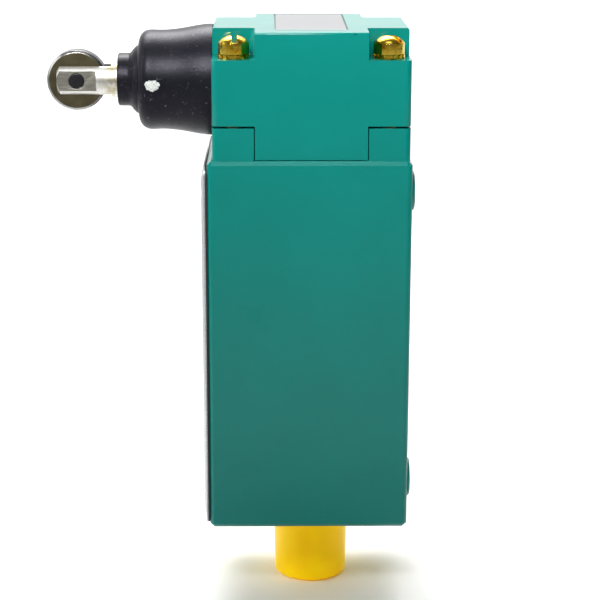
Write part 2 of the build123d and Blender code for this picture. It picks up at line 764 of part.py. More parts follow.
make_body_housing()
make_head_housing()
make_head_trim()
make_head_screws()
make_plunger_bushing()
make_boot()
make_plunger_shaft()
make_roller()
make_plunger_fittings()
make_springs()
make_actuator()
make_block_base()
make_terminals()
make_switch_plunger()
make_front_cover()
make_cover_screws()
make_pan_screws("contact_block_screws", block_screw_points, block_front_x, 2.7, 1.8, 1.5, 22.0)
terminal_points = [(side * terminal_y, z) for side in (-1, 1) for z in terminal_screw_z.values()]
make_pan_screws("terminal_screws", terminal_points, block_front_x - 1.7, 2.5, 1.7, 1.4, 5.5)
make_ground_clamp()
make_pan_screws("ground_screw", [(-10.0, -17.0)], cavity_back_x - 1.0, 3.0, 2.2, 1.5, 2.6)
make_conduit_plug()
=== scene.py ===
# %% [markdown]
# # Limit switch with a side roller plunger
# The CAD model holds the sizes, the joints and everything that fits together. This script gives it its
# looks: soft cast edges, enamel, rubber, plated screws and worn steel. Every place and size below comes
# from the frame, which is in metres, with +Z up and the plunger pointing along -X.

# %% Load the frame
import json
from math import cos, pi, radians, sin

import bmesh
import bpy
from mathutils import Matrix, Vector


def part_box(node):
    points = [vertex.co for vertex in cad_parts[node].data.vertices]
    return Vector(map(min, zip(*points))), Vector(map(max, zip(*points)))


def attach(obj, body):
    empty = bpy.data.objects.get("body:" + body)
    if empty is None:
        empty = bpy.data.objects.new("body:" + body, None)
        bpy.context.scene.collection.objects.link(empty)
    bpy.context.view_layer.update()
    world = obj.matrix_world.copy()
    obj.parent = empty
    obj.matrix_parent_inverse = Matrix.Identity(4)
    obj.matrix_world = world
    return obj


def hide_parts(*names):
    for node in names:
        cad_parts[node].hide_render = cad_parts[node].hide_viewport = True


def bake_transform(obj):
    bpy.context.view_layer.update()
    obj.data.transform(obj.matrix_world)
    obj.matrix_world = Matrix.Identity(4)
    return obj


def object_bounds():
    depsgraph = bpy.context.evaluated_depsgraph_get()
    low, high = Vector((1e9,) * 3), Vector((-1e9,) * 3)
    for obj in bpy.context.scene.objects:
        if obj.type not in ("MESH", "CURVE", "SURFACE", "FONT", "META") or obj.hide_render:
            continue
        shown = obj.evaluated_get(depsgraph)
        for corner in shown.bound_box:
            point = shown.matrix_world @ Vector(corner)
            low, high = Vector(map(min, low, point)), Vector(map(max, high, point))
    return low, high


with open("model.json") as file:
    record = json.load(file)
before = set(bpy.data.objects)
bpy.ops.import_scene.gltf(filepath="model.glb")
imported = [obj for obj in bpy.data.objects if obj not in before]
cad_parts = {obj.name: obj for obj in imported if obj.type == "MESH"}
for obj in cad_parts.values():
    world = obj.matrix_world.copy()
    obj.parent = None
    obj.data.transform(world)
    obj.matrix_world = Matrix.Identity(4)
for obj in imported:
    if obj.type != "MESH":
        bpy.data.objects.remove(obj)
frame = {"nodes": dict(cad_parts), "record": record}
cad_low, cad_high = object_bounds()
mm = 0.001

# %% [markdown]
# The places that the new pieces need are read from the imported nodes. The plunger's axis runs along X
# through the middle of the roller, and the boot starts on the head's front face.

# %% Places on the object
head_low, head_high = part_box("head_housing")
body_low, body_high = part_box("body_housing")
boot_low, boot_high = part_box("boot")
shaft_low, shaft_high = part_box("plunger_shaft")
roller_low, roller_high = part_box("roller")
plug_low, plug_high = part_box("conduit_plug")
washer_low, washer_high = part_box("head_lock_washers")

axis_z = (roller_low.z + roller_high.z) / 2
head_mid = (head_low + head_high) / 2
print("plunger axis height", round(axis_z, 4), "head front face", round(head_low.x, 4))

# %% [markdown]
# ## Materials
# Each finish is a node tree round one Principled shader. Patterns read Object coordinates, so they stay
# on the piece when it moves. A helper keeps the trees short: it makes the shader, and hands back small
# functions that add a noise, a ramp or a bump where a finish needs one.

# %% A small kit for node materials
class Finish:
    """One node material: the shader's plain sockets are set at once, patterns are linked afterwards."""

    def __init__(self, name, base, roughness=0.4, metallic=0.0, **sockets):
        self.material = bpy.data.materials.new(name)
        self.material.use_nodes = True
        self.tree = self.material.node_tree
        self.shader = self.tree.nodes["Principled BSDF"]
        self.shader.inputs["Base Color"].default_value = (*base, 1.0)
        self.shader.inputs["Roughness"].default_value = roughness
        self.shader.inputs["Metallic"].default_value = metallic
        for socket, value in sockets.items():
            self.shader.inputs[socket.replace("_", " ").title().replace("Ior", "IOR")].default_value = value
        self.material.diffuse_color = (*base, 1.0)
        self.place = self.tree.nodes.new("ShaderNodeTexCoord").outputs["Object"]

    def node(self, kind, **settings):
        made = self.tree.nodes.new(kind)
        for key, value in settings.items():
            setattr(made, key, value)
        return made

    def link(self, source, target):
        self.tree.links.new(source, target)

    def stretched(self, scale):
        """Object coordinates, stretched by three factors."""
        mapping = self.node("ShaderNodeMapping")
        mapping.inputs["Scale"].default_value = scale
        self.link(self.place, mapping.inputs["Vector"])
        return mapping.outputs["Vector"]

    def noise(self, scale, detail=2.0, roughness=0.5, vector=None):
        made = self.node("ShaderNodeTexNoise")
        made.inputs["Scale"].default_value = scale
        made.inputs["Detail"].default_value = detail
        made.inputs["Roughness"].default_value = roughness
        self.link(vector or self.place, made.inputs["Vector"])
        return made.outputs["Fac"]

    def ramp(self, value, *stops):
        """Colours or greys at given positions along a value from 0 to 1."""
        made = self.node("ShaderNodeValToRGB")
        band = made.color_ramp
        while len(band.elements) < len(stops):
            band.elements.new(0.5)
        for element, (position, colour) in zip(band.elements, stops):
            element.position = position
            grey = isinstance(colour, (int, float))
            element.color = (colour, colour, colour, 1) if grey else (*colour, 1)
        self.link(value, made.inputs["Fac"])
        return made.outputs["Color"]

    def mix(self, factor, first, second):
        """Blends two colours, each a triple or a socket, by a socket."""
        made = self.node("ShaderNodeMix", data_type="RGBA")
        self.link(factor, made.inputs["Factor"])
        for name, colour in (("A", first), ("B", second)):
            if isinstance(colour, tuple):
                made.inputs[name].default_value = (*colour, 1)
            else:
                self.link(colour, made.inputs[name])
        return made.outputs["Result"]

    def maths(self, operation, first, second=0.0, clamp=False):
        made = self.node("ShaderNodeMath", operation=operation, use_clamp=clamp)
        for index, value in enumerate((first, second)):
            if isinstance(value, (int, float)):
                made.inputs[index].default_value = value
            else:
                self.link(value, made.inputs[index])
        return made.outputs["Value"]

    def along(self, axis, low, high):
        """A value that goes from 0 to 1 between two places on one axis."""
        parts = self.node("ShaderNodeSeparateXYZ")
        self.link(self.place, parts.inputs["Vector"])
        made = self.node("ShaderNodeMapRange")
        made.inputs["From Min"].default_value = low
        made.inputs["From Max"].default_value = high
        self.link(parts.outputs[axis], made.inputs["Value"])
        return made.outputs["Result"]

    def colour(self, socket):
        self.link(socket, self.shader.inputs["Base Color"])

    def rough(self, value, low, high):
        made = self.node("ShaderNodeMapRange")
        made.inputs["To Min"].default_value = low
        made.inputs["To Max"].default_value = high
        self.link(value, made.inputs["Value"])
        self.link(made.outputs["Result"], self.shader.inputs["Roughness"])

    def bump(self, *heights):
        """Stacks bumps: each is a height socket, a strength and a distance in metres."""
        below = None
        for height, strength, distance in heights:
            made = self.node("ShaderNodeBump")
            made.inputs["Strength"].default_value = strength
            made.inputs["Distance"].default_value = distance
            self.link(height, made.inputs["Height"])
            if below:
                self.link(below, made.inputs["Normal"])
            below = made.outputs["Normal"]
        self.link(below, self.shader.inputs["Normal"])


# %% [markdown]
# ### Enamel
# The castings are sprayed with a blue-green enamel and baked. The coat is smooth but not flat: it has a
# fine orange peel over the slow waves of the casting. A few dark specks and rubbed spots sit in it, which
# a Voronoi pattern gives cell by cell, so that they stay rare.

# %% Teal enamel
def teal_enamel(name="teal_enamel"):
    finish = Finish(name, (0.0, 0.18, 0.152), roughness=0.3, specular_ior_level=0.05,
                    coat_weight=0.5, coat_roughness=0.08)
    patches = finish.noise(90, detail=3)
    tone = finish.ramp(patches, (0.3, (0.0, 0.174, 0.146)), (0.7, (0.0, 0.186, 0.158)))
    cells = finish.node("ShaderNodeTexVoronoi")
    cells.inputs["Scale"].default_value = 260
    finish.link(finish.place, cells.inputs["Vector"])
    close = finish.ramp(cells.outputs["Distance"], (0.05, 1.0), (0.12, 0.0))
    rare = finish.ramp(cells.outputs["Color"], (0.9, 0.0), (0.92, 1.0))
    specks = finish.maths("MULTIPLY", close, rare)
    speckled = finish.mix(specks, tone, (0.0, 0.09, 0.08))
    # light chips, only along the bottom edge
    flecks = finish.ramp(finish.noise(1700, detail=4, roughness=0.7), (0.66, 0.0), (0.7, 1.0))
    patch = finish.ramp(finish.noise(190, detail=1), (0.52, 0.0), (0.6, 1.0))
    low_down = finish.ramp(finish.along("Z", body_low.z, body_low.z + 9 * mm), (0.4, 1.0), (1.0, 0.0))
    chips = finish.maths("MULTIPLY", finish.maths("MULTIPLY", flecks, patch), low_down)
    finish.colour(finish.mix(chips, speckled, (0.12, 0.36, 0.32)))
    peel = finish.noise(1400, detail=2)
    waves = finish.noise(160, detail=2)
    finish.rough(patches, 0.24, 0.36)
    finish.bump((waves, 0.12, 0.0004), (peel, 0.1, 0.0001))
    return finish.material


enamel = teal_enamel()
print("finish", enamel.name)

# %% [markdown]
# ### Rubber
# The boot is a satin nitrile moulding. It shows as near black, with a broad grey sheen where it faces the
# light, and a fine grain that catches dust. The gaskets inside are the same rubber without the dust.

# %% Boot rubber and plain rubber
def boot_rubber():
    finish = Finish("boot_rubber", (0.008, 0.008, 0.011), roughness=0.34, specular_ior_level=0.15,
                    specular_tint=(0.86, 0.84, 1.0, 1.0))
    grain = finish.noise(2600, detail=3, roughness=0.6)
    dust = finish.ramp(finish.noise(1500, detail=4, roughness=0.7), (0.62, 0.0), (0.72, 1.0))
    finish.colour(finish.mix(dust, (0.006, 0.006, 0.009), (0.1, 0.096, 0.115)))
    finish.rough(finish.noise(220, detail=2), 0.28, 0.4)
    finish.bump((grain, 0.5, 0.0001))
    return finish.material


def plain_rubber():
    finish = Finish("black_rubber", (0.015, 0.015, 0.016), roughness=0.6)
    finish.rough(finish.noise(400), 0.5, 0.7)
    finish.bump((finish.noise(1800), 0.2, 0.0001))
    return finish.material


rubber = boot_rubber()
gasket_rubber = plain_rubber()
print("finishes", rubber.name, gasket_rubber.name)

# %% [markdown]
# ### Yellow zinc
# The head screws are zinc plated with a yellow chromate. The film's colour drifts from gold to green and
# brown, because its thickness does, so a slow noise runs through those three colours on a bright metal.
# The darkest brown and green go deeper than the film itself, as painted reflection of dark surroundings.

# %% Yellow zinc
def yellow_zinc():
    finish = Finish("yellow_zinc", (0.83, 0.6, 0.12), roughness=0.2, metallic=1.0)
    film_and_dark_reflection = finish.noise(420, detail=3, roughness=0.6)
    # the near-black brown and green stops are partly the chromate film and partly painted dark reflection
    finish.colour(finish.ramp(film_and_dark_reflection, (0.32, (0.16, 0.08, 0.008)), (0.44, (0.8, 0.48, 0.03)),
                              (0.58, (0.95, 0.68, 0.09)), (0.7, (0.12, 0.16, 0.015))))
    finish.rough(finish.noise(1200), 0.12, 0.24)
    finish.bump((finish.noise(2400, detail=3), 0.12, 0.00006))
    return finish.material


zinc = yellow_zinc()
print("finish", zinc.name)

# %% [markdown]
# ### Steel
# The plunger is turned and ground. Turning leaves fine rings, which are a noise squeezed along the
# plunger's axis. Old grease has left a yellowish stain where the rod meets the boot.

# %% Plunger steel, with a stain beside the boot
def plunger_steel():
    finish = Finish("plunger_steel", (0.74, 0.72, 0.67), roughness=0.26, metallic=1.0)
    rings = finish.noise(1.0, detail=3, vector=finish.stretched((9000, 500, 500)))
    blotches = finish.noise(600, detail=4, roughness=0.65)
    near_boot = finish.along("X", boot_low.x - 4.2 * mm, boot_low.x + 0.6 * mm)
    stain = finish.maths("MULTIPLY", near_boot, finish.ramp(blotches, (0.38, 0.0), (0.56, 1.0)))
    clean = finish.ramp(rings, (0.35, (0.6, 0.59, 0.56)), (0.65, (0.74, 0.73, 0.7)))
    finish.colour(finish.mix(stain, clean, (0.28, 0.22, 0.03)))
    finish.rough(blotches, 0.3, 0.46)
    finish.bump((rings, 0.08, 0.00004))
    return finish.material


def machined_flat():
    finish = Finish("machined_flat", (0.33, 0.32, 0.27), roughness=0.38, metallic=1.0)
    marks = finish.noise(1.0, detail=3, vector=finish.stretched((500, 500, 7000)))
    finish.colour(finish.ramp(marks, (0.3, (0.27, 0.26, 0.22)), (0.7, (0.38, 0.37, 0.32))))
    finish.bump((marks, 0.15, 0.00005))
    return finish.material


def bright_steel(name="bright_steel", base=(0.62, 0.61, 0.58)):
    finish = Finish(name, base, roughness=0.28, metallic=1.0)
    finish.rough(finish.noise(900, detail=3), 0.2, 0.4)
    finish.bump((finish.noise(2500), 0.08, 0.00005))
    return finish.material


rod_steel = plunger_steel()
flat_steel = machined_flat()
steel = bright_steel()
spring_wire = bright_steel("spring_steel", (0.4, 0.4, 0.4))
print("finishes", rod_steel.name, flat_steel.name, steel.name, spring_wire.name)

# %% [markdown]
# The roller is hardened steel. Its two faces are dull and olive grey, with faint rings from the lathe, and
# its rim is ground bright. The pin is blackened, which leaves a dark satin skin.

# %% Roller face, roller rim and black oxide
def roller_face():
    finish = Finish("roller_steel", (0.13, 0.112, 0.07), roughness=0.42, metallic=1.0)
    cloud = finish.noise(350, detail=3)
    finish.colour(finish.ramp(cloud, (0.3, (0.08, 0.068, 0.036)), (0.7, (0.13, 0.113, 0.07))))
    offset = finish.node("ShaderNodeVectorMath", operation="SUBTRACT")
    offset.inputs[1].default_value = ((roller_low.x + roller_high.x) / 2, 0, axis_z)
    finish.link(finish.place, offset.inputs[0])
    flat = finish.node("ShaderNodeVectorMath", operation="MULTIPLY")
    flat.inputs[1].default_value = (1, 0, 1)
    finish.link(offset.outputs["Vector"], flat.inputs[0])
    far = finish.node("ShaderNodeVectorMath", operation="LENGTH")
    finish.link(flat.outputs["Vector"], far.inputs[0])
    rings = finish.maths("SINE", finish.maths("MULTIPLY", far.outputs["Value"], 2 * pi / (0.22 * mm)))
    finish.bump((rings, 0.12, 0.00003), (finish.noise(2200), 0.1, 0.00004))
    return finish.material


def roller_rim():
    finish = Finish("roller_rim", (0.34, 0.34, 0.33), roughness=0.26, metallic=1.0,
                    specular_tint=(0.4, 0.4, 0.43, 1.0))
    finish.rough(finish.noise(700, detail=3), 0.2, 0.36)
    finish.bump((finish.noise(1800), 0.06, 0.00005))
    return finish.material


def black_oxide():
    finish = Finish("black_oxide", (0.018, 0.018, 0.02), roughness=0.34, metallic=0.6)
    finish.rough(finish.noise(1500), 0.26, 0.44)
    finish.bump((finish.noise(2500), 0.2, 0.00006))
    return finish.material


face_steel = roller_face()
rim_steel = roller_rim()
oxide = black_oxide()
print("finishes", face_steel.name, rim_steel.name, oxide.name)

# %% [markdown]
# ### Plates, plastics and the rest
# The label is a thin foil whose dark edge is painted shade of the recess it sits in. The cover is a satin
# aluminium plate. The plug is a translucent yellow moulding, so a little light goes through it, and a faint
# glow of painted light brightens it where the body shades it. What is inside the body shows only when
# the switch is opened, but it gets a real finish as well.

# %% Foil, cover plate, plug and paint
def foil():
    finish = Finish("foil_label", (0.16, 0.16, 0.165), roughness=0.45, metallic=0.3)
    brushed = finish.noise(1.0, detail=2, vector=finish.stretched((600, 9000, 600)))
    finish.colour(finish.ramp(brushed, (0.3, (0.145, 0.145, 0.15)), (0.7, (0.18, 0.18, 0.187))))
    finish.bump((brushed, 0.06, 0.00003), (finish.noise(140), 0.15, 0.0002))
    return finish.material


def painted_recess_shade():
    # a near-black colour that is painted shade of the recess round the label, not print
    finish = Finish("painted_recess_shade", (0.02, 0.03, 0.03), roughness=0.5)
    finish.rough(finish.noise(900), 0.4, 0.6)
    return finish.material


def cover_plate():
    finish = Finish("cover_aluminium", (0.5, 0.51, 0.52), roughness=0.4, metallic=0.9)
    marks = finish.noise(1.0, detail=3, vector=finish.stretched((800, 800, 6000)))
    finish.colour(finish.ramp(marks, (0.3, (0.42, 0.43, 0.44)), (0.7, (0.56, 0.57, 0.58))))
    finish.rough(finish.noise(300), 0.32, 0.5)
    finish.bump((marks, 0.08, 0.00005))
    return finish.material


def yellow_plastic():
    # the emission is painted light: a faint orange glow that brightens the plug where the body shades it
    finish = Finish("yellow_plastic", (0.95, 0.62, 0.0), roughness=0.3, specular_ior_level=0.15,
                    subsurface_weight=0.3, subsurface_scale=0.004, emission_strength=0.22)
    finish.shader.inputs["Emission Color"].default_value = (1.0, 0.6, 0.0, 1.0)
    finish.shader.inputs["Subsurface Radius"].default_value = (1.0, 0.7, 0.05)
    wash = finish.noise(120, detail=2)
    finish.colour(finish.ramp(wash, (0.3, (0.92, 0.56, 0.0)), (0.7, (1.0, 0.68, 0.0))))
    finish.rough(finish.noise(500), 0.24, 0.4)
    finish.bump((finish.noise(900), 0.06, 0.0001))
    return finish.material


def white_paint():
    finish = Finish("white_paint", (0.5, 0.52, 0.5), roughness=0.6)
    lumps = finish.noise(2600, detail=3, roughness=0.65)
    finish.colour(finish.ramp(lumps, (0.36, (0.24, 0.26, 0.25)), (0.52, (0.56, 0.58, 0.56))))
    finish.bump((lumps, 0.5, 0.00012))
    return finish.material


foil_metal = foil()
recess_shade_finish = painted_recess_shade()
cover_metal = cover_plate()
plug_plastic_painted_glow = yellow_plastic()
dot_paint = white_paint()
print("finishes", foil_metal.name, cover_metal.name, plug_plastic_painted_glow.name, dot_paint.name)


# %% Brass, bronze, phenolic and the small inner parts
def plain_finish(name, base, roughness, metallic, grain):
    """A simple finish with its own grain: a little colour drift, a little roughness and a fine bump."""
    finish = Finish(name, base, roughness=roughness, metallic=metallic)
    drift = finish.noise(grain / 4, detail=2)
    darker = tuple(0.82 * part for part in base)
    finish.colour(finish.ramp(drift, (0.3, darker), (0.7, base)))
    finish.rough(finish.noise(grain), max(roughness - 0.08, 0.05), roughness + 0.1)
    finish.bump((finish.noise(2 * grain, detail=3), 0.12, 0.00008))
    return finish.material


inner_finishes = {
    "bronze": plain_finish("bronze", (0.6, 0.4, 0.2), 0.35, 1.0, 1200),
    "contact_brass": plain_finish("contact_brass", (0.76, 0.56, 0.26), 0.25, 1.0, 900),
    "black_phenolic": plain_finish("black_phenolic", (0.022, 0.02, 0.019), 0.4, 0.0, 700),
    "red_plastic": plain_finish("red_plastic", (0.5, 0.03, 0.02), 0.3, 0.0, 600),
    "fibre_board": plain_finish("fibre_board", (0.2, 0.16, 0.12), 0.75, 0.0, 1500),
    "green_screw": plain_finish("green_screw", (0.03, 0.3, 0.08), 0.3, 0.6, 900),
}
print("inner finishes", sorted(inner_finishes))

# %% [markdown]
# ## Castings
# A CAD edge is a perfect corner, but a painted casting has none: the enamel draws back and rounds each
# edge, and that thin line catches the light. So each casting is a copy of its CAD node, with its loose
# triangles merged, its flat faces joined up and its sharp edges bevelled. The alternative, building the
# box again from nothing, would only repeat sizes that the frame already holds.

# %% [markdown]
# Smooth shading bends the light over a whole flat face when its edges are soft. So each wide face keeps
# its own direction, and the soft edge beside it takes that direction where the two meet. A weighted
# normal modifier does much the same, but written out it also leaves the curved faces alone.

# %% Shading that keeps flat faces flat
def is_flat(mesh, face):
    """A wide face, as against a narrow facet of a curve or of a softened edge."""
    corners = [mesh.vertices[index].co for index in face.vertices]
    around = sum((a - b).length for a, b in zip(corners, corners[1:] + corners[:1]))
    return face.area / around > 1.0 * mm


def keep_flats(mesh):
    """Turns the normals where a soft edge meets a flat face along that face."""
    flats = {}
    flat_faces = set()
    for face in mesh.polygons:
        if is_flat(mesh, face):
            flat_faces.add(face.index)
            for vertex in face.vertices:
                flats.setdefault(vertex, []).append(face.normal.copy())
    normals = [corner.vector.copy() for corner in mesh.corner_normals]
    for face in mesh.polygons:
        for loop in face.loop_indices:
            near = flats.get(mesh.loops[loop].vertex_index, [])
            if face.index in flat_faces:
                normals[loop] = face.normal.copy()
            elif near:
                best = max(near, key=face.normal.dot)
                if best.dot(face.normal) > cos(radians(40)):
                    normals[loop] = best
    mesh.normals_split_custom_set(normals)


# %% [markdown]
# These helpers copy a CAD node, bevel its edges, and turn the result into a finished object. Where the
# head drops into the body, its tongue is drawn in by a sixth of a millimetre, because a real joint
# between two castings shows as a thin dark line.

# %% Copy a CAD node and soften its edges
def finish_object(name, bm, materials, body, smooth_angle=34, flats=True):
    """Turns a bmesh into an object at the origin, with its materials, shading, body and slot."""
    mesh = bpy.data.meshes.new(name)
    bm.to_mesh(mesh)
    bm.free()
    made = bpy.data.objects.new(name, mesh)
    bpy.context.scene.collection.objects.link(made)
    for material in materials:
        mesh.materials.append(material)
    for face in mesh.polygons:
        face.use_smooth = True
    mesh.set_sharp_from_angle(angle=radians(smooth_angle))
    if flats:
        keep_flats(mesh)
    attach(made, body)
    return made


def merged_copy(node):
    """A bmesh of a CAD node with its triangles merged and its flat faces joined up."""
    bm = bmesh.new()
    bm.from_mesh(frame["nodes"][node].data)
    bmesh.ops.remove_doubles(bm, verts=bm.verts, dist=1e-6)
    bmesh.ops.dissolve_limit(bm, angle_limit=radians(0.4), verts=bm.verts, edges=bm.edges)
    for face in bm.faces:
        face.material_index = 0
    return bm


def round_edges(bm, width, segments=3, least_angle=30):
    """Bevels every edge that turns by more than the least angle."""
    sharp = []
    for edge in bm.edges:
        if len(edge.link_faces) == 2 and edge.calc_face_angle() > radians(least_angle):
            sharp.append(edge)
    bmesh.ops.bevel(bm, geom=sharp, offset=width, offset_type="OFFSET", segments=segments,
                    profile=0.5, affect="EDGES", material=-1, clamp_overlap=True)
    return len(sharp)


def open_joint(bm, seat, gap):
    """Draws the tongue under a piece in from its pocket, so that a dark line shows all round it."""
    lowest = min(vert.co.z for vert in bm.verts)
    for vert in bm.verts:
        if vert.co.z < lowest + 0.01 * mm or abs(vert.co.z - seat) < 0.5 * mm:
            vert.co.z += gap
    for axis in (0, 1):
        places = [vert.co[axis] for vert in bm.verts]
        middle, half = (max(places) + min(places)) / 2, (max(places) - min(places)) / 2
        tongue = [vert for vert in bm.verts if vert.co.z < seat + 0.8 * mm
                  and abs(vert.co[axis] - middle) < half - 1 * mm]
        arm = max(abs(vert.co[axis] - middle) for vert in tongue)
        for vert in tongue:
            away = vert.co[axis] - middle
            if abs(away) > arm - 0.05 * mm:
                vert.co[axis] = middle + away * (arm - gap) / arm


def softened(node, name, material, body, width, segments=3, seat=None):
    """A bevelled copy of a CAD node, with an open joint line where it drops into a seat."""
    bm = merged_copy(node)
    if seat is not None:
        open_joint(bm, seat, 0.16 * mm)
    count = round_edges(bm, width, segments)
    made = finish_object(name, bm, [material], body)
    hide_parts(node)
    print(name, "edges softened", count, "faces", len(made.data.polygons))
    return made


# %% Body and head castings
body_casting = softened("body_housing", "body_casting", enamel, "housing", 0.22 * mm)
head_casting = softened("head_housing", "head_casting", enamel, "housing", 0.4 * mm,
                        seat=body_high.z)

# %% [markdown]
# ## Head screws and lock washers
# Each screw has a round slotted head. Its shape is already true in the frame, slot and all, so the
# copy only has its edges broken, which is what gives a plated screw its bright outlines.

# %% Head screws
screws = softened("head_screws", "plated_head_screws", zinc, "housing", 0.13 * mm)

# %% [markdown]
# The washers are external-tooth lock washers. A flat ring is spun from its section, every second face of
# its outer wall is pulled out to make a tooth, and each tooth is twisted about its own radius so that its
# corners bite. An array of separate teeth would look the same but leave open shells.

# %% Toothed lock washers
def toothed_washer(bm, centre, inner, ring, outer, thickness, teeth=14):
    """Adds one external-tooth washer to a bmesh, standing on its centre point."""
    section = []
    for radius, height in ((inner, 0), (ring, 0), (ring, thickness), (inner, thickness)):
        section.append(bm.verts.new((centre.x + radius, centre.y, centre.z + height)))
    edges = [bm.edges.new((section[i], section[(i + 1) % 4])) for i in range(4)]
    spun = bmesh.ops.spin(bm, geom=section + edges, cent=centre, axis=(0, 0, 1), angle=2 * pi,
                          steps=2 * teeth, use_merge=True)
    bm.normal_update()
    verts = set(section)
    for item in spun["geom_last"]:
        if isinstance(item, bmesh.types.BMVert):
            verts.add(item)
    walls = []
    for face in bm.faces:
        middle = face.calc_center_median() - centre
        flat = Vector((middle.x, middle.y, 0))
        if flat.length < ring * 1.05 and flat.length > ring * 0.96 and 0 < middle.z < thickness:
            walls.append((flat, face))
    walls.sort(key=lambda pair: pair[0].to_2d().angle_signed(Vector((1, 0))))
    for flat, face in walls[::2]:
        pulled = bmesh.ops.extrude_discrete_faces(bm, faces=[face])["faces"][0]
        way = flat.normalized()
        bmesh.ops.translate(bm, verts=pulled.verts, vec=way * (outer - ring))
        twist = Matrix.Rotation(radians(24), 4, way)
        bmesh.ops.rotate(bm, verts=pulled.verts, cent=centre + flat + Vector((0, 0, thickness / 2)),
                         matrix=twist.to_3x3())


washer_radius = 3.1 * mm
screw_inset = (washer_high.x - washer_low.x) / 2 - washer_radius
washer_mesh = bmesh.new()
for side_x in (-1, 1):
    for side_y in (-1, 1):
        seat = Vector((head_mid.x + side_x * screw_inset, head_mid.y + side_y * screw_inset, washer_low.z))
        toothed_washer(washer_mesh, seat, 1.9 * mm, 2.75 * mm, washer_radius, washer_high.z - washer_low.z)
bmesh.ops.recalc_face_normals(washer_mesh, faces=washer_mesh.faces)
washers = finish_object("toothed_washers", washer_mesh, [zinc], "housing")
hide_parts("head_lock_washers")
print("washers", len(washers.data.polygons), "faces")

# %% [markdown]
# ## Label plate
# The plate on top of the head is thin foil in a shallow recess. Its top face is inset once: the narrow rim
# that this leaves is coloured dark as painted shade of the recess's edge, and the field inside is bare foil.

# %% Foil label with painted shade along its edge
plate = merged_copy("head_label_plate")
top = max(plate.faces, key=lambda face: face.calc_center_median().z)
bmesh.ops.inset_region(plate, faces=[top], thickness=0.35 * mm, depth=0.0)
# the inset rim takes the painted shade of the recess, the field inside stays bare foil
for face in plate.faces:
    face.material_index = 0 if face == top else 1
label = finish_object("foil_label_plate", plate, [foil_metal, recess_shade_finish], "housing")
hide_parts("head_label_plate")
print("label", len(label.data.polygons), "faces")

# %% [markdown]
# ## Boot
# The boot is one moulding, so it is one spun profile: a flared base on the head, a slightly waisted
# barrel, a rounded shoulder, a small fold and a collar that grips the rod. The profile is drawn as
# (distance from the head, radius) with curves for its round stretches.

# %% Spin a profile about an axis
def bezier(start, handle_a, handle_b, end, steps=8):
    """Points along a cubic curve, without its first point."""
    points = []
    for step in range(1, steps + 1):
        t = step / steps
        s = 1 - t
        weights = (s * s * s, 3 * s * s * t, 3 * s * t * t, t * t * t)
        place = [sum(w * p[i] for w, p in zip(weights, (start, handle_a, handle_b, end))) for i in (0, 1)]
        points.append(tuple(place))
    return points


def spun(profile, origin, along, out, steps=96, closed=True):
    """Spins (distance, radius) points about the line through origin in the direction along."""
    bm = bmesh.new()
    verts = [bm.verts.new(origin + along * distance + out * radius) for distance, radius in profile]
    edges = [bm.edges.new(pair) for pair in zip(verts, verts[1:])]
    if closed:
        edges.append(bm.edges.new((verts[-1], verts[0])))
    bmesh.ops.spin(bm, geom=verts + edges, cent=origin, axis=along, angle=2 * pi, steps=steps,
                   use_merge=True)
    bmesh.ops.remove_doubles(bm, verts=bm.verts, dist=1e-7)
    bmesh.ops.recalc_face_normals(bm, faces=bm.faces)
    return bm


# %% Rubber boot
boot_origin = Vector((head_low.x, 0, axis_z))
outwards = Vector((-1, 0, 0))
upwards = Vector((0, 0, 1))


def boot_profile():
    """The boot's section in millimetres from the head's face, outside first and then back inside."""
    points = [(0.05, 10.95), (0.2, 11.13)]
    points += bezier((0.2, 11.13), (3.2, 11.12), (5.2, 10.3), (8.2, 10.05), 10)
    points += bezier((8.2, 10.05), (9.4, 9.92), (10.6, 9.88), (12.2, 9.98), 6)
    points += bezier((12.2, 9.98), (13.9, 10.05), (14.7, 9.2), (14.95, 8.0), 10)
    points += bezier((14.95, 8.0), (15.0, 7.6), (14.85, 7.2), (15.1, 6.9), 5)
    points += bezier((15.1, 6.9), (15.6, 6.7), (15.9, 6.45), (16.3, 5.95), 6)
    points += bezier((16.3, 5.95), (16.55, 5.55), (16.7, 5.3), (17.15, 5.28), 5)
    points += [(18.9, 5.28)]
    points += bezier((18.9, 5.28), (19.1, 5.28), (19.2, 5.18), (19.2, 5.0), 4)
    points += [(19.2, 3.56), (15.9, 3.56), (15.0, 4.6), (13.5, 5.0), (13.5, 7.7)]
    points += bezier((13.5, 7.7), (13.5, 8.3), (13.1, 8.6), (12.4, 8.6), 4)
    points += [(7.4, 8.7), (6.6, 7.1), (3.6, 7.05), (0.05, 7.05)]
    return [(distance * mm, radius * mm) for distance, radius in points]


boot_mesh = spun(boot_profile(), boot_origin, outwards, upwards, steps=128)
boot = finish_object("rubber_boot", boot_mesh, [rubber], "housing", 50, flats=False)
boot.parent = None
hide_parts("boot")
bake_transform(boot)
print("boot", len(boot.data.polygons), "faces")

# %% [markdown]
# The three coil springs are copies of the CAD coils. They stay out of sight inside the switch.

# %% Coil springs
def sprung_coil(node):
    """A copy of a CAD coil, finished in spring steel."""
    coil = finish_object(node.replace("spring", "coil"), merged_copy(node), [spring_wire], "housing",
                         50, flats=False)
    coil.parent = None
    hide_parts(node)
    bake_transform(coil)
    print(coil.name, len(coil.data.polygons), "faces")
    return coil


sprung_coil("return_spring")
for node, pushed in (("actuator_spring", "actuator"), ("contact_spring", "switch_slider")):
    sprung_coil(node)

# %% [markdown]
# An inspector's dab of white paint sits on the barrel. It is a round disc of rings, laid onto the
# barrel's curve and given a ragged edge and a little thickness by moving its points outwards.

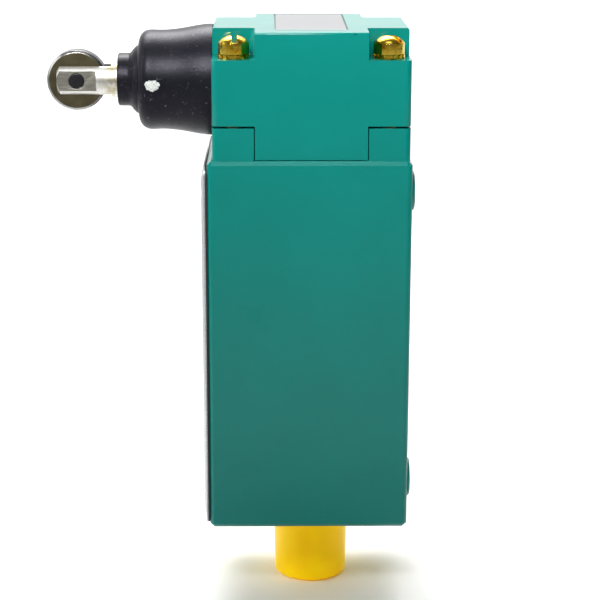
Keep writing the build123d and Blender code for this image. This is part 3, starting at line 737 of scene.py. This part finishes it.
# %% White paint dot
def paint_dot(centre_distance, radius, thickness):
    bm = bmesh.new()
    bmesh.ops.create_circle(bm, cap_ends=True, cap_tris=True, segments=40, radius=radius)
    bmesh.ops.subdivide_edges(bm, edges=bm.edges, cuts=4, use_grid_fill=True)
    for vert in bm.verts:
        reach = vert.co.length / radius
        turn = vert.co.to_2d().angle_signed(Vector((1, 0)), 0)
        ragged = 1 + 0.07 * sin(3 * turn + 0.6) + 0.05 * sin(7 * turn) + 0.03 * sin(13 * turn + 1)
        across, up = vert.co.x * 1.12 * ragged, vert.co.y * 0.95 * ragged
        lift = thickness * (1 - reach ** 6) - 0.02 * mm
        angle = up / barrel_radius
        out = barrel_radius + lift
        vert.co = (boot_origin.x - centre_distance + across, -out * cos(angle), axis_z + out * sin(angle))
    bmesh.ops.recalc_face_normals(bm, faces=bm.faces)
    return bm


barrel_radius = 9.93 * mm
dot = finish_object("paint_dot", paint_dot(11.9 * mm, 1.3 * mm, 0.12 * mm), [dot_paint], "housing",
                    flats=False)
dot.parent = None
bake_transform(dot)
print("paint dot", len(dot.data.polygons), "faces")

# %% [markdown]
# ## Plunger, roller and pin
# The rod keeps its true shape, with broken edges. Its two milled side flats and the slot for the roller
# are duller than the turned surface, so the faces that look along Y get the machined finish. The roller's
# faces and rim are told apart in the same way.

# %% Plunger rod and clevis
rod = merged_copy("plunger_shaft")
rod.normal_update()
for face in rod.faces:
    on_curve = abs(face.calc_center_median().y) > shaft_high.y - 0.3 * mm
    if abs(face.normal.y) > 0.99 and not on_curve:
        face.material_index = 1
round_edges(rod, 0.12 * mm, segments=2)
plunger = finish_object("plunger_rod", rod, [rod_steel, flat_steel], "plunger")
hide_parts("plunger_shaft")
print("plunger", len(plunger.data.polygons), "faces")


# %% Roller and its pin
def roller_profile(half, radius, bore):
    chamfer, edge = 0.45 * mm, 0.1 * mm
    side = [(-half, bore + edge), (-half, radius - chamfer - edge)]
    side += bezier(side[-1], (-half, radius - chamfer), (-half, radius - chamfer),
                   (-half + edge, radius - chamfer + edge), 3)
    side += [(-half + chamfer - edge, radius - edge)]
    side += bezier(side[-1], (-half + chamfer, radius), (-half + chamfer, radius),
                   (-half + chamfer + edge, radius), 3)
    inner = [(-half + edge, bore)]
    far = [(-distance, reach) for distance, reach in reversed(inner + side)]
    return inner + side + far


roller_mid = (roller_low + roller_high) / 2
half_width = (roller_high.y - roller_low.y) / 2
roller_radius = (roller_high.z - roller_low.z) / 2
pin_low, pin_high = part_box("roller_pin")
pin_radius = (pin_high.z - pin_low.z) / 2
roller_mesh = spun(roller_profile(half_width, roller_radius, pin_radius + 0.05 * mm), roller_mid,
                   Vector((0, 1, 0)), upwards, steps=128)
roller_mesh.normal_update()
for face in roller_mesh.faces:
    face.material_index = 0 if abs(face.normal.y) > 0.98 else 1
roller = finish_object("steel_roller", roller_mesh, [face_steel, rim_steel], "roller")
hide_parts("roller")

pin = softened("roller_pin", "blackened_pin", oxide, "plunger", 0.1 * mm)
print("roller", len(roller.data.polygons), "faces")

# %% [markdown]
# ## Conduit plug
# A hollow yellow moulding, pushed into the conduit entry to keep dirt out. Its CAD shape is already right,
# so a copy gets soft moulded edges. It is its own body, because it pulls out. The plastic lets light
# through, which a little scattering under the surface stands in for. A faint glow of its own is painted
# light, which brightens the plug where the body above shades it.

# %% Yellow plug
plug = softened("conduit_plug", "thread_protector", plug_plastic_painted_glow, "entry_plug", 0.3 * mm)

# %% [markdown]
# ## Front cover and the CAD nodes that stay
# The cover plate gets the same soft edges. All other pieces keep their CAD shape and take a finish by
# the slot that the record gives them.

# %% Cover plate
cover = softened("front_cover", "cover_plate", cover_metal, "housing", 0.12 * mm, 2)

# %% Finishes of the remaining nodes
finish_of_slot = {
    "teal_enamel": enamel,
    "black_rubber": gasket_rubber,
    "boot_rubber": rubber,
    "yellow_zinc": zinc,
    "bright_steel": steel,
    "spring_steel": spring_wire,
    "roller_steel": face_steel,
    "black_oxide": oxide,
    "foil_label": foil_metal,
    "cover_aluminium": cover_metal,
    "yellow_plastic": plug_plastic_painted_glow,
    **inner_finishes,
}
for part in frame["record"]["subparts"]:
    node = frame["nodes"][part["node"]]
    for index in range(len(node.material_slots)):
        node.material_slots[index].material = finish_of_slot[part["material_slot"]]

# %% [markdown]
# ## Stage, light and camera
# The switch stands on its plug on a pale floor. A softbox behind and above it makes the top faces pale,
# a narrow one in front lifts the edges, a faint one overhead catches the shoulder of the body, and a wide
# one on the left shapes the boot. The world is bright behind the switch and dim behind the camera, so
# that polished steel has something dark to reflect.

# %% Floor
floor_mesh = bmesh.new()
bmesh.ops.create_grid(floor_mesh, x_segments=1, y_segments=1, size=4.0)
bmesh.ops.translate(floor_mesh, verts=floor_mesh.verts, vec=(0, 0, plug_low.z - 0.2 * mm))
floor_data = bpy.data.meshes.new("floor")
floor_mesh.to_mesh(floor_data)
floor_mesh.free()
floor = bpy.data.objects.new("floor", floor_data)
bpy.context.scene.collection.objects.link(floor)
floor_finish = Finish("floor_paper", (0.9, 0.9, 0.9), roughness=0.7)
floor_data.materials.append(floor_finish.material)


# %% Lights
def softbox(name, place, target, size, power, spread=180):
    """A soft area light at a place, turned to face a target. A smaller spread keeps its light in a beam."""
    light = bpy.data.lights.new(name, "AREA")
    light.shape = "RECTANGLE"
    light.size, light.size_y = size
    light.energy = power
    light.spread = radians(spread)
    lamp = bpy.data.objects.new(name, light)
    bpy.context.scene.collection.objects.link(lamp)
    lamp.location = place
    lamp.rotation_euler = (Vector(target) - Vector(place)).to_track_quat("-Z", "Y").to_euler()
    return lamp


centre = (cad_low + cad_high) / 2
head_point = (head_mid.x, head_mid.y, head_high.z)
above_head = (head_mid.x, head_mid.y, head_high.z + 65 * mm)
ledge_point = (head_mid.x, body_low.y, body_high.z)
softbox("rear_softbox", (-0.06, 0.24, 0.4), head_point, (0.4, 0.25), 0.45, 60)
softbox("front_softbox", (-0.08, -0.26, 0.3), above_head, (0.22, 0.16), 0.3, 40)
softbox("top_softbox", (-0.03, -0.1, 0.4), ledge_point, (0.2, 0.1), 0.006, 40)
softbox("left_softbox", (-0.6, -0.1, 0.3), centre, (0.4, 0.5), 0.5, 90)
softbox("background_softbox", (0.0, 1.4, 1.0), (0.0, 1.2, 0.0), (2.4, 1.4), 18.0, 90)

world = bpy.data.worlds.new("studio")
bpy.context.scene.world = world
world.use_nodes = True
sky = world.node_tree
background = sky.nodes["Background"]
direction = sky.nodes.new("ShaderNodeTexCoord").outputs["Generated"]
parts = sky.nodes.new("ShaderNodeSeparateXYZ")
sky.links.new(direction, parts.inputs["Vector"])
spread = sky.nodes.new("ShaderNodeMapRange")
spread.inputs["From Min"].default_value = 0.1
spread.inputs["From Max"].default_value = 0.95
spread.inputs["To Min"].default_value = 0.1
spread.inputs["To Max"].default_value = 1.3
sky.links.new(parts.outputs["Y"], spread.inputs["Value"])
sky.links.new(spread.outputs["Result"], background.inputs["Strength"])
background.inputs["Color"].default_value = (1, 1, 1, 1)
bpy.context.scene.view_settings.view_transform = "Standard"

# %% [markdown]
# The camera looks down on the switch by about fourteen degrees from a little left of its middle, through
# a long lens, so that the sides stay almost parallel.

# %% Camera
camera_data = bpy.data.cameras.new("camera")
camera_data.sensor_width = 36
camera_data.lens = 106.9
camera = bpy.data.objects.new("camera", camera_data)
bpy.context.scene.collection.objects.link(camera)
camera_pitch = radians(14.496)
camera_yaw = radians(0.934)
camera_roll = radians(0.14)
camera.location = Vector((-27.93, -358.86, 96.53)) * mm
forward = Vector((sin(camera_yaw) * cos(camera_pitch), cos(camera_yaw) * cos(camera_pitch), -sin(camera_pitch)))
turn = forward.to_track_quat("-Z", "Y")
camera.rotation_mode = "QUATERNION"
camera.rotation_quaternion = turn @ Matrix.Rotation(camera_roll, 3, "Z").to_quaternion()
bpy.context.scene.camera = camera
print("camera", [round(value, 3) for value in camera.location])
